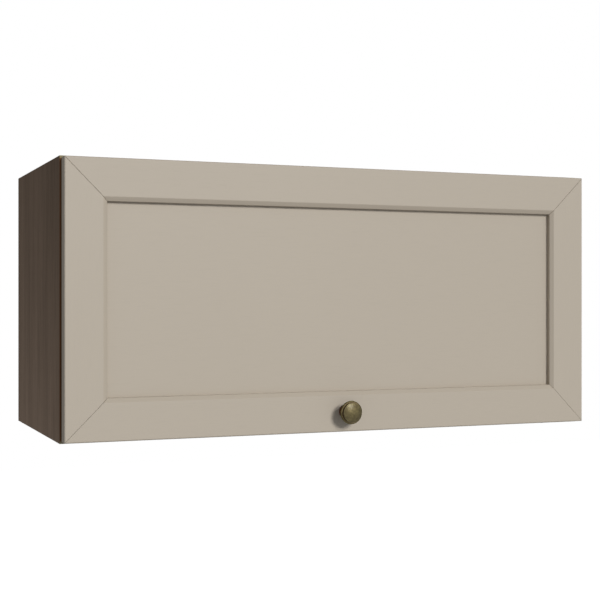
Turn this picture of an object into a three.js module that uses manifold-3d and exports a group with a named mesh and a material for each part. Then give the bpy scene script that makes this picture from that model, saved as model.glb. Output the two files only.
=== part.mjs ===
// Lift-up wall cabinet: a dowelled box with one framed flap that swings up on two cup hinges,
// pushed by two gas struts. Millimetres, +X to the right, +Y to the wall, +Z up.
// The origin lies on the wall plane, in the middle of the cabinet's width and height.

import * as THREE from "three";
import Module from "manifold-3d";
import { mergeVertices } from "three/addons/utils/BufferGeometryUtils.js";

const wasm = await Module();
wasm.setup();

// ---------------------------------------------------------------- driving dimensions

// Box
const cabinet_width = 800;
const cabinet_height = 378;
const cabinet_depth = 335;
const board_thickness = 16;
const band_thickness = 1;
const back_thickness = 3;
const back_inset = 18;
const back_groove_depth = 8;
const back_fit = 0.3;
const dowel_radius = 4;
const dowel_in_side = 10;
const dowel_in_board = 22;
const dowel_setback_front = 50;
const dowel_setback_rear = 62;

// Flap
const door_thickness = 19;
const door_gap = 2.5;
const door_side_reveal = 2;
const door_end_reveal = 2.5;
const frame_face = 51;
const bevel_width = 6;
const bevel_depth = 3.4;
const panel_recess = 10;
const panel_thickness = 6;
const panel_groove_depth = 10;
const panel_tongue = 8.5;
const panel_fit = 0.2;
const front_round = 2;
const rear_round = 1;
const mitre_gap = 0.1;
const spline_length = 32;
const spline_width = 18;
const spline_thickness = 4;
const spline_from_corner = 27;
const bumper_radius = 4.5;
const bumper_crown_radius = 3.2;
const bumper_from_end = 14;

// Knob
const knob_height = 28.5;
const knob_foot_radius = 10;
const knob_stem_radius = 7;
const knob_ring_radius = 16.5;
const knob_foot_height = 1.2;
const knob_cove_radius = 3;
const knob_neck_start = 7.5;
const knob_neck_end = 10.5;
const knob_ring_height = 18.2;
const knob_ring_thickness = 2.8;
const knob_collar_radius = 12.6;
const knob_collar_height = 2.6;
const knob_dome_radius = 13.8;
const knob_dome_rim = 0.7;
const knob_dome_height = 2.7;
const knob_bore_depth = 14;
const knob_screw_radius = 2;
const knob_screw_in_knob = 12;
const screw_head_radius = 4.6;
const screw_head_height = 2.2;
const screw_head_step = 0.9;
const screw_crown_share = 0.6;

// Hinges
const hinge_from_end = 100;
const hinge_axis_depth = 9;
const hinge_axis_drop = 7;
const cup_radius = 17.5;
const cup_wall = 1;
const cup_depth = 12.5;
const cup_from_edge = 3;
const flange_length = 62;
const flange_width = 15;
const flange_thickness = 1;
const flange_corner = 4;
const flange_rim = 0.7;
const flange_drop = 6;
const flange_hole_spacing = 48;
const flange_hole_radius = 2.2;
const pin_radius = 1.1;
const knuckle_radius = 2.2;
const knuckle_width = 8;
const neck_thickness = 2.4;
const arm_drop = 10.6;
const arm_thickness = 2.4;
const arm_width = 13;
const arm_cheek = 1.4;
const arm_cheek_height = 2.2;
const arm_length = 50;
const arm_setback = 3;
const plate_setback = 37;
const plate_length = 38;
const plate_nose = 4;
const plate_wing_span = 48;
const plate_wing_width = 12;
const plate_wing_thickness = 1.6;

// Gas struts
const strut_off_side = 13;
const strut_off_door = 13;
const strut_door_drop = 62;
const strut_carcass_drop = 200;
const strut_setback = 60;
const ball_radius = 4;
const ball_neck_radius = 2.2;
const ball_clearance = 0.3;
const socket_radius = 6.5;
const socket_width = 9;
const socket_shank_radius = 5;
const socket_length = 18;
const socket_grip = 0.4;
const tube_radius = 7.5;
const tube_wall = 1.3;
const tube_head = 3;
const tube_chamfer = 1;
const gland_length = 12;
const rod_radius = 3;
const rod_thread_length = 8;
const rod_shown_shut = 3;
const piston_length = 10;
const piston_from_end = 6;
const strut_plate_thickness = 2.2;
const strut_plate_width = 24;
const strut_plate_height = 52;
const strut_plate_corner = 5;
const stud_flange_radius = 5;
const stud_flange_thickness = 1.5;
const stud_collar_radius = 3.7;
const stud_collar_thickness = 1.2;
const rivet_head_height = 1.1;
const rivet_crown_radius = 3.3;
const bracket_thickness = 2.5;
const bracket_width = 20;
const bracket_height = 40;
const bracket_corner = 4;
const lug_thickness = 3;
const lug_radius = 7;
const lug_from_ball = 7;

// Hangers
const hanger_width = 22;
const hanger_depth = 38;
const hanger_height = 58;
const hanger_below_top = 1;
const hook_width = 12;
const hook_thickness = 2.5;
const hook_drop = 20;
const hook_from_wall = 2.5;
const hook_tip_height = 12;
const hook_mouth = 12;
const hook_heel = 1;
const hook_notch_margin = 3;
const hook_in_housing = 28;
const hanger_screw_radius = 2;
const hanger_screw_head_radius = 3.6;
const hanger_screw_head_height = 1.9;
const hanger_screw_length = 16;
const hanger_screw_height = 16;

// Small gaps
const seat_gap = 0.3;
const running_gap = 0.3;

// How far a cutting tool or an overlapping join runs past the face that it starts from.
const run_past = 1;
const corner_steps = 4;

// ---------------------------------------------------------------- derived places

const half_width = cabinet_width / 2;
const half_height = cabinet_height / 2;
const inner_half_width = half_width - board_thickness;
const inner_half_height = half_height - board_thickness;
const board_front = -(cabinet_depth - band_thickness);
const carcass_front = -cabinet_depth;
const back_rear = -back_inset;
const back_front = -(back_inset + back_thickness);

const door_rear = carcass_front - door_gap;
const door_front = door_rear - door_thickness;
const door_left = -half_width + door_side_reveal;
const door_right = half_width - door_side_reveal;
const door_top = half_height - door_end_reveal;
const door_bottom = -half_height + door_end_reveal;
const door_width = door_right - door_left;
const door_height = door_top - door_bottom;
const frame_width = frame_face + bevel_width;

const hinge_x = half_width - hinge_from_end;
const hinge_y = door_rear - hinge_axis_depth;
const hinge_z = door_top - hinge_axis_drop;
const cup_z = door_top - cup_from_edge - cup_radius;
const arm_top = hinge_z - arm_drop;

const strut_x = inner_half_width - strut_off_side;
const door_ball = new THREE.Vector2(door_rear + strut_off_door, hinge_z - strut_door_drop);
const carcass_ball = new THREE.Vector2(
  carcass_front + strut_setback,
  hinge_z - strut_carcass_drop,
);
const strut_line = carcass_ball.clone().sub(door_ball);
const strut_length = strut_line.length();
const strut_tilt = Math.atan2(strut_line.x, -strut_line.y);
const tube_end = strut_length - socket_length - rod_shown_shut;
const stud_length = strut_off_side - strut_plate_thickness - running_gap;

const hanger_top = inner_half_height - hanger_below_top;
const hanger_rear = back_front - seat_gap;
const hanger_x = inner_half_width - hanger_width / 2;
const hook_z = inner_half_height - hook_drop;

const sides = [
  { name: "left", sign: -1 },
  { name: "right", sign: 1 },
];

// ---------------------------------------------------------------- materials

function finish(colour, roughness, metalness = 0) {
  return new THREE.MeshStandardMaterial({ color: colour, roughness, metalness });
}

const dark_oak_laminate = () => finish(0x7f6e5f, 0.8);
const dark_fibreboard = () => finish(0x77685a, 0.8);
const dark_edge_band = () => finish(0x563d2c, 0.7);
const beech = () => finish(0xc7a77a, 0.7);
const painted_front = () => finish(0xb8af9f, 0.5);
const antique_brass = () => finish(0x6e6038, 0.4, 0.9);
const nickelled_steel = () => finish(0xb9bbbd, 0.3, 0.9);
const grey_painted_steel = () => finish(0x9ea0a2, 0.4, 0.3);
const polished_steel = () => finish(0xd6d8da, 0.15, 1);
const grey_plastic = () => finish(0x8c8e90, 0.5);
const clear_rubber = () => finish(0xd8d8d2, 0.4);

// ---------------------------------------------------------------- shape helpers

const group = new THREE.Group();

function add(name, geometry, material, parent = group) {
  const mesh = new THREE.Mesh(geometry, material);
  mesh.name = name;
  parent.add(mesh);
  return mesh;
}

function solidOf(geometry) {
  const bare = geometry.index ? geometry.toNonIndexed() : geometry.clone();
  bare.deleteAttribute("normal");
  bare.deleteAttribute("uv");
  const merged = mergeVertices(bare, 1e-4);
  const mesh = new wasm.Mesh({
    numProp: 3,
    vertProperties: merged.attributes.position.array,
    triVerts: new Uint32Array(merged.index.array),
  });
  return new wasm.Manifold(mesh);
}

function geometryOf(solid) {
  const mesh = solid.getMesh();
  const geometry = new THREE.BufferGeometry();
  geometry.setAttribute("position", new THREE.BufferAttribute(mesh.vertProperties, 3));
  geometry.setIndex(new THREE.BufferAttribute(mesh.triVerts, 1));
  geometry.computeVertexNormals();
  return geometry;
}

function join(...pieces) {
  return geometryOf(pieces.map(solidOf).reduce((whole, piece) => whole.add(piece)));
}

function cut(body, ...tools) {
  return geometryOf(tools.map(solidOf).reduce((rest, tool) => rest.subtract(tool), solidOf(body)));
}

// A box between two corners given in any order.
function block(one, other) {
  const size = one.map((value, axis) => Math.abs(other[axis] - value));
  const centre = one.map((value, axis) => (other[axis] + value) / 2);
  return new THREE.BoxGeometry(...size).translate(...centre);
}

// A round bar along x, y or z from one coordinate to another, at the two places given on the
// other axes in x, y, z order.
function bar(axis, radius, from, to, places, segments = 16) {
  const geometry = new THREE.CylinderGeometry(radius, radius, Math.abs(to - from), segments);
  const middle = (from + to) / 2;
  if (axis === "x") {
    return geometry.rotateZ(Math.PI / 2).translate(middle, places[0], places[1]);
  }
  if (axis === "y") {
    return geometry.translate(places[0], middle, places[1]);
  }
  return geometry.rotateX(Math.PI / 2).translate(places[0], places[1], middle);
}

// A turned body: outline points are [radius, distance], the distance along the direction given.
function turned(direction, outline, segments = 16) {
  const points = outline.map(([radius, distance]) => new THREE.Vector2(radius, distance));
  const geometry = new THREE.LatheGeometry(points, segments);
  const turn = new THREE.Quaternion().setFromUnitVectors(new THREE.Vector3(0, 1, 0), direction);
  return geometry.applyQuaternion(turn);
}

// Points on an arc about a centre, from one angle to another, in degrees.
function arc(centre, radius, from, to, steps) {
  return Array.from({ length: steps + 1 }, (_, step) => {
    const angle = THREE.MathUtils.degToRad(from + ((to - from) * step) / steps);
    return [centre[0] + radius * Math.cos(angle), centre[1] + radius * Math.sin(angle)];
  });
}

function roundedPlate(width, height, radius) {
  const w = width / 2 - radius;
  const h = height / 2 - radius;
  return new THREE.Shape([
    ...arc([w, h], radius, 0, 90, corner_steps),
    ...arc([-w, h], radius, 90, 180, corner_steps),
    ...arc([-w, -h], radius, 180, 270, corner_steps),
    ...arc([w, -h], radius, 270, 360, corner_steps),
  ].map(([x, y]) => new THREE.Vector2(x, y)));
}

// A flat rounded plate square to x or y, its thickness running from one coordinate to another.
function plate(axis, width, height, radius, from, to, places) {
  const shape = roundedPlate(width, height, radius);
  const depth = Math.abs(to - from);
  const geometry = new THREE.ExtrudeGeometry(shape, { depth, bevelEnabled: false });
  geometry.translate(0, 0, -depth / 2);
  const middle = (from + to) / 2;
  if (axis === "x") {
    return geometry.rotateX(Math.PI / 2).rotateZ(Math.PI / 2).translate(middle, ...places);
  }
  return geometry.rotateX(Math.PI / 2).translate(places[0], middle, places[1]);
}

// ---------------------------------------------------------------- box

// The eight dowels lie in four rows, two in each joint between a side and a level board.
const dowel_rows = [
  { name: "front", y: board_front + dowel_setback_front },
  { name: "rear", y: -dowel_setback_rear },
];
const levels = [
  { name: "top", sign: 1 },
  { name: "bottom", sign: -1 },
];

function dowelAt(side, level, row, clearance) {
  const from = side.sign * (inner_half_width + dowel_in_side + clearance);
  const to = side.sign * (inner_half_width - dowel_in_board - clearance);
  const z = level.sign * (half_height - board_thickness / 2);
  return bar("x", dowel_radius + clearance, from, to, [row.y, z], 12);
}

// The groove that the back panel slides into, as one slab to cut from the boards.
function backGroove() {
  const reach_x = inner_half_width + back_groove_depth;
  const reach_z = inner_half_height + back_groove_depth;
  return block(
    [-reach_x, back_rear + back_fit / 2, -reach_z],
    [reach_x, back_front - back_fit / 2, reach_z],
  );
}

function addBoards() {
  const all_dowels = (side, level) => dowel_rows.map((row) => dowelAt(side, level, row, seat_gap));
  for (const side of sides) {
    const outer = side.sign * half_width;
    const inner = side.sign * inner_half_width;
    const blank = block([outer, 0, -half_height], [inner, board_front, half_height]);
    const holes = levels.flatMap((level) => all_dowels(side, level));
    add(`side_panel_${side.name}`, cut(blank, backGroove(), ...holes), dark_oak_laminate());
    const band = block(
      [outer, board_front, -half_height],
      [inner, carcass_front, half_height],
    );
    add(`edge_band_side_${side.name}`, band, dark_edge_band());
  }
  for (const level of levels) {
    const outer = level.sign * half_height;
    const inner = level.sign * inner_half_height;
    const blank = block([-inner_half_width, 0, outer], [inner_half_width, board_front, inner]);
    const holes = sides.flatMap((side) => all_dowels(side, level));
    add(`${level.name}_panel`, cut(blank, backGroove(), ...holes), dark_oak_laminate());
    const band = block(
      [-inner_half_width, board_front, outer],
      [inner_half_width, carcass_front, inner],
    );
    add(`edge_band_${level.name}`, band, dark_edge_band());
  }
}

function addDowels() {
  for (const side of sides) {
    for (const level of levels) {
      for (const row of dowel_rows) {
        const name = `dowel_${level.name}_${side.name}_${row.name}`;
        add(name, dowelAt(side, level, row, 0), beech());
      }
    }
  }
}

// The back panel stops short of the groove's floor, and its top corners are notched for the hooks.
function addBackPanel() {
  const reach_x = inner_half_width + back_groove_depth - 2 * back_fit;
  const reach_z = inner_half_height + back_groove_depth - 2 * back_fit;
  const blank = block([-reach_x, back_rear, -reach_z], [reach_x, back_front, reach_z]);
  const notch_start = hanger_x - hook_width / 2 - hook_notch_margin;
  const notches = sides.map((side) => block(
    [side.sign * notch_start, back_rear + run_past, hook_z - hook_tip_height],
    [side.sign * half_width, back_front - run_past, half_height],
  ));
  add("back_panel", cut(blank, ...notches), dark_fibreboard());
}

// ---------------------------------------------------------------- hangers

// The leg runs from the housing to the tip. Its heel ends before the mouth that takes the rail.
function hookOutline(clearance) {
  const bottom = hook_z - hook_thickness - clearance;
  const heel_bottom = bottom - hook_heel;
  const top = hook_z + clearance;
  const front = hanger_rear - hook_in_housing - clearance;
  return { bottom, heel_bottom, top, front };
}

function hangerScrew(side, clearance) {
  const z = hanger_top - hanger_height + hanger_screw_height;
  const front = hanger_rear - hanger_depth;
  const x = side.sign * hanger_x;
  const shank_end = front + hanger_screw_length + clearance;
  return bar("y", hanger_screw_radius + clearance, front - run_past, shank_end, [x, z], 12);
}

function addHangers() {
  for (const side of sides) {
    const x = side.sign * hanger_x;
    const half_hook = hook_width / 2;
    const front = hanger_rear - hanger_depth;
    const wall_side = side.sign * inner_half_width;
    const free_side = side.sign * (inner_half_width - hanger_width);
    const low = hanger_top - hanger_height;

    const casing = block([wall_side, hanger_rear, low], [free_side, front, hanger_top]);
    const slot_size = hookOutline(seat_gap);
    const slot = block(
      [x - half_hook - seat_gap, hanger_rear + run_past, slot_size.heel_bottom],
      [x + half_hook + seat_gap, slot_size.front, slot_size.top],
    );
    const casing_cut = cut(casing, slot, hangerScrew(side, seat_gap));
    add(`hanger_housing_${side.name}`, casing_cut, grey_plastic());

    const hook = hookOutline(0);
    const mouth_start = -hook_from_wall - hook_thickness;
    const leg = block([x - half_hook, -hook_from_wall, hook.bottom], [
      x + half_hook, hook.front, hook.top,
    ]);
    const tip = block([x - half_hook, -hook_from_wall, hook.top - hook_tip_height], [
      x + half_hook, mouth_start, hook.top,
    ]);
    const heel = block([x - half_hook, mouth_start - hook_mouth, hook.heel_bottom], [
      x + half_hook, hook.front, hook.top,
    ]);
    add(`hanger_hook_${side.name}`, join(leg, tip, heel), nickelled_steel());

    const head_rear = front - seat_gap;
    const head = bar("y", hanger_screw_head_radius, head_rear - hanger_screw_head_height, head_rear, [
      x, low + hanger_screw_height,
    ], 12);
    add(`hanger_screw_${side.name}`, join(hangerScrew(side, 0), head), nickelled_steel());
  }
}

// ---------------------------------------------------------------- flap

// Section of a frame member: x is the distance in from the door's edge, y the depth from its face.
function frameSection() {
  const groove_front = panel_recess - panel_fit;
  const groove_rear = panel_recess + panel_thickness + panel_fit;
  const groove_floor = frame_width - panel_groove_depth;
  const rear_middle = [rear_round, door_thickness - rear_round];
  const points = [
    ...arc([front_round, front_round], front_round, 180, 270, corner_steps),
    [frame_face, 0],
    [frame_width, bevel_depth],
    [frame_width, groove_front],
    [groove_floor, groove_front],
    [groove_floor, groove_rear],
    [frame_width, groove_rear],
    [frame_width, door_thickness],
    ...arc(rear_middle, rear_round, 90, 180, corner_steps),
  ];
  return new THREE.Shape(points.map(([x, y]) => new THREE.Vector2(x, y)));
}

// One mitred member along a door edge. Each end is cut back by its distance from the outer edge.
function mitredMember(corner, inward, length) {
  const settings = { depth: length, bevelEnabled: false, steps: 1 };
  const geometry = new THREE.ExtrudeGeometry(frameSection(), settings);
  const place = geometry.attributes.position;
  for (let i = 0; i < place.count; i += 1) {
    const setback = place.getX(i) + mitre_gap;
    const z = place.getZ(i) < length / 2 ? setback : length - setback;
    place.setZ(i, z);
  }
  const depth_axis = new THREE.Vector3(0, 1, 0);
  const along = new THREE.Vector3().crossVectors(inward, depth_axis);
  const matrix = new THREE.Matrix4().makeBasis(inward, depth_axis, along);
  matrix.setPosition(corner);
  return geometry.applyMatrix4(matrix);
}

// A loose tongue across a mitre, in the middle of the frame's solid thickness.
function splineAt(side, level, clearance) {
  const geometry = new THREE.BoxGeometry(
    spline_width + 2 * clearance,
    spline_thickness + 2 * clearance,
    spline_length + 2 * clearance,
  );
  const lean = side.sign * level.sign * (Math.PI / 4);
  const x = side.sign * (door_width / 2 - spline_from_corner);
  const z = level.sign * (door_height / 2 - spline_from_corner);
  const y = door_front + panel_recess + panel_thickness / 2;
  return geometry.rotateY(lean).translate(x, y, z);
}

function cupBore(side) {
  const floor = door_rear - cup_depth - running_gap;
  const radius = cup_radius + running_gap;
  return bar("y", radius, floor, door_rear + run_past, [side.sign * hinge_x, cup_z], 32);
}

function knobHole() {
  const radius = knob_screw_radius + 2 * running_gap;
  const places = [0, door_bottom + knob_height];
  return bar("y", radius, door_front - run_past, door_rear + run_past, places, 16);
}

function addFlapFrame() {
  const corner = (x, z) => new THREE.Vector3(x, door_front, z);
  const slots = (filter) => sides.flatMap((side) => levels
    .filter((level) => filter(side, level))
    .map((level) => splineAt(side, level, seat_gap)));
  const members = [
    {
      name: "frame_rail_top",
      start: corner(door_left, door_top),
      inward: new THREE.Vector3(0, 0, -1),
      length: door_width,
      cuts: [...slots((side, level) => level.sign > 0), ...sides.map(cupBore)],
    },
    {
      name: "frame_rail_bottom",
      start: corner(door_right, door_bottom),
      inward: new THREE.Vector3(0, 0, 1),
      length: door_width,
      cuts: [...slots((side, level) => level.sign < 0), knobHole()],
    },
    {
      name: "frame_stile_left",
      start: corner(door_left, door_bottom),
      inward: new THREE.Vector3(1, 0, 0),
      length: door_height,
      cuts: slots((side) => side.sign < 0),
    },
    {
      name: "frame_stile_right",
      start: corner(door_right, door_top),
      inward: new THREE.Vector3(-1, 0, 0),
      length: door_height,
      cuts: slots((side) => side.sign > 0),
    },
  ];
  for (const member of members) {
    const bare = mitredMember(member.start, member.inward, member.length);
    add(member.name, cut(bare, ...member.cuts), painted_front());
  }
  for (const side of sides) {
    for (const level of levels) {
      add(`corner_spline_${level.name}_${side.name}`, splineAt(side, level, 0), beech());
    }
  }
}

function addDoorPanel() {
  const edge = frame_width - panel_tongue;
  const front = door_front + panel_recess;
  const panel = block(
    [door_left + edge, front, door_bottom + edge],
    [door_right - edge, front + panel_thickness, door_top - edge],
  );
  add("door_panel", panel, painted_front());
}

function addKnob() {
  const outward = new THREE.Vector3(0, -1, 0);
  const bore = knob_screw_radius + running_gap;
  const cove_middle = [knob_foot_radius + knob_foot_height, knob_foot_height + knob_cove_radius];
  const half_ring = knob_ring_thickness / 2;
  const ring_middle = [knob_ring_radius - half_ring, knob_ring_height + half_ring];
  const flare_middle = [ring_middle[0], knob_neck_end];
  const collar_start = knob_ring_height + knob_ring_thickness;
  const dome_start = collar_start + knob_collar_height;
  const dome_rim = dome_start + knob_dome_rim;
  const dome_top = dome_rim + knob_dome_height;
  const crown_steps = 5;
  // The crown is a shallow cap of a sphere that meets the dome's rim.
  const crown_radius = (knob_dome_radius ** 2 + knob_dome_height ** 2) / (2 * knob_dome_height);
  const crown = Array.from({ length: crown_steps }, (_, step) => {
    const radius = knob_dome_radius * (1 - step / crown_steps);
    const rise = Math.sqrt(crown_radius ** 2 - radius ** 2) - crown_radius;
    return [radius, dome_top + rise];
  });
  const outline = [
    [0, knob_bore_depth],
    [bore, knob_bore_depth],
    [bore, 0],
    [knob_foot_radius, 0],
    [knob_foot_radius, knob_foot_height],
    ...arc(cove_middle, knob_cove_radius, 225, 180, 2),
    [knob_stem_radius, knob_neck_start],
    [knob_stem_radius, knob_neck_end],
    ...arc(flare_middle, knob_ring_height - knob_neck_end, 165, 100, 4),
    ...arc(ring_middle, half_ring, -70, 70, 4),
    [knob_collar_radius, collar_start],
    [knob_collar_radius, dome_start],
    [knob_dome_radius, dome_start],
    ...crown,
    [0, dome_top],
  ];
  const knob = turned(outward, outline, 32);
  knob.translate(0, door_front, door_bottom + knob_height);
  add("knob", knob, antique_brass());

  const reach = door_thickness + knob_screw_in_knob;
  const screw_outline = [
    [0, -screw_head_height],
    [screw_head_radius * screw_crown_share, -screw_head_height],
    [screw_head_radius, -screw_head_step],
    [screw_head_radius, 0],
    [knob_screw_radius, 0],
    [knob_screw_radius, reach],
    [0, reach],
  ];
  const screw = turned(outward, screw_outline, 16);
  screw.translate(0, door_rear, door_bottom + knob_height);
  add("knob_screw", screw, nickelled_steel());
}

function addBumpers() {
  const x = half_width - board_thickness / 2;
  const z = door_bottom + bumper_from_end;
  const height = door_gap - seat_gap;
  for (const side of sides) {
    const bumper = turned(new THREE.Vector3(0, 1, 0), [
      [0, 0],
      [bumper_radius, 0],
      [bumper_radius, height / 2],
      [bumper_crown_radius, height],
      [0, height],
    ], 16);
    bumper.translate(side.sign * x, door_rear, z);
    add(`bumper_${side.name}`, bumper, clear_rubber());
  }
}

// ---------------------------------------------------------------- hinges

function addHinge(side) {
  const x = side.sign * hinge_x;
  const rear = door_rear;

  // Cup: a pot sunk in the top rail, with a flange on the rail's rear face.
  const floor = rear - cup_depth;
  const face = rear + flange_thickness;
  const pot = bar("y", cup_radius, floor, face, [x, cup_z], 32);
  const rim = bar("y", cup_radius + flange_rim, rear, face, [x, cup_z], 32);
  const ears = plate("y", flange_length, flange_width, flange_corner, rear, face, [
    x, cup_z - flange_drop,
  ]);
  const hollow = bar("y", cup_radius - cup_wall, floor + cup_wall, face + run_past, [x, cup_z], 32);
  const screw_holes = sides.map((end) => bar("y", flange_hole_radius, rear - run_past, face + run_past, [
    x + (end.sign * flange_hole_spacing) / 2, cup_z - flange_drop,
  ], 12));
  const cup = cut(join(pot, rim, ears), hollow, ...screw_holes);
  add(`hinge_cup_${side.name}`, cup, nickelled_steel());

  // Pin: spans the cup just under its upper wall.
  const rise = hinge_z - cup_z;
  const chord = Math.sqrt((cup_radius - cup_wall) ** 2 - (rise + pin_radius) ** 2);
  const half_pin = chord - running_gap;
  const pin = bar("x", pin_radius, x - half_pin, x + half_pin, [hinge_y, hinge_z], 12);
  add(`hinge_pin_${side.name}`, pin, nickelled_steel());

  // Arm: runs forward under the top panel, then turns up into the cup to its knuckle.
  const half_knuckle = knuckle_width / 2;
  const arm_bottom = arm_top - arm_thickness;
  const web_start = carcass_front + arm_setback;
  const arm_rear = carcass_front + arm_length;
  const neck_front = hinge_y - neck_thickness / 2;
  const cheek_inner = arm_width / 2 - arm_cheek;
  const knuckle = bar("x", knuckle_radius, x - half_knuckle, x + half_knuckle, [
    hinge_y, hinge_z,
  ], 16);
  const neck = block([x - half_knuckle, neck_front, arm_bottom], [
    x + half_knuckle, hinge_y + neck_thickness / 2, hinge_z,
  ]);
  const tongue = block([x - half_knuckle, neck_front, arm_bottom], [
    x + half_knuckle, web_start + run_past, arm_top,
  ]);
  const web = block([x - arm_width / 2, web_start, arm_bottom], [
    x + arm_width / 2, arm_rear, arm_top,
  ]);
  const cheeks = sides.map((edge) => block(
    [x + edge.sign * cheek_inner, web_start, arm_bottom],
    [x + (edge.sign * arm_width) / 2, arm_rear, arm_top + arm_cheek_height],
  ));
  const eye = bar("x", pin_radius + running_gap, x - arm_width, x + arm_width, [
    hinge_y, hinge_z,
  ], 12);
  const arm = cut(join(knuckle, neck, tongue, web, ...cheeks), eye);
  add(`hinge_arm_${side.name}`, arm, nickelled_steel());

  // Plate: screwed up into the top panel, with a block that fits between the arm's cheeks.
  const plate_y = carcass_front + plate_setback;
  const ceiling = inner_half_height;
  const half_block = cheek_inner - running_gap;
  const spine = block(
    [x - half_block, plate_y - plate_length / 2 - plate_nose, arm_top + seat_gap],
    [x + half_block, plate_y + plate_length / 2, ceiling],
  );
  const wings = block(
    [x - plate_wing_span / 2, plate_y - plate_wing_width / 2, ceiling - plate_wing_thickness],
    [x + plate_wing_span / 2, plate_y + plate_wing_width / 2, ceiling],
  );
  add(`hinge_plate_${side.name}`, join(spine, wings), nickelled_steel());
}

// ---------------------------------------------------------------- gas struts

// A ball on a neck, pointing from its flange or rivet to the ball. Distance 0 is the ball's centre.
function ballStud(direction, outline_behind) {
  const neck_angle = THREE.MathUtils.radToDeg(Math.asin(ball_neck_radius / ball_radius));
  const ball = arc([0, 0], ball_radius, -90 + neck_angle, 90, 8);
  ball[ball.length - 1] = [0, ball_radius];
  return turned(direction, [...outline_behind, ...ball], 16);
}

// A snap-on socket: a head across the strut, hollowed for the ball and open to one side.
// The shank points down the strut when sense is 1 and up it when sense is -1.
function ballSocket(open_side, sense) {
  const head = bar("x", socket_radius, -socket_width / 2, socket_width / 2, [0, 0], 20);
  const shank = bar("z", socket_shank_radius, 0, -sense * socket_length, [0, 0], 16);
  const cavity_radius = ball_radius + ball_clearance;
  const cavity = new THREE.SphereGeometry(cavity_radius, 16, 12).rotateZ(Math.PI / 2);
  const mouth = bar("x", ball_radius - socket_grip, 0, open_side * socket_width, [0, 0], 16);
  const thread_start = -sense * (socket_length - rod_thread_length - seat_gap);
  const thread_end = -sense * (socket_length + run_past);
  const thread = bar("z", rod_radius + seat_gap, thread_start, thread_end, [0, 0], 16);
  return cut(join(head, shank), cavity, mouth, thread);
}

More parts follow.
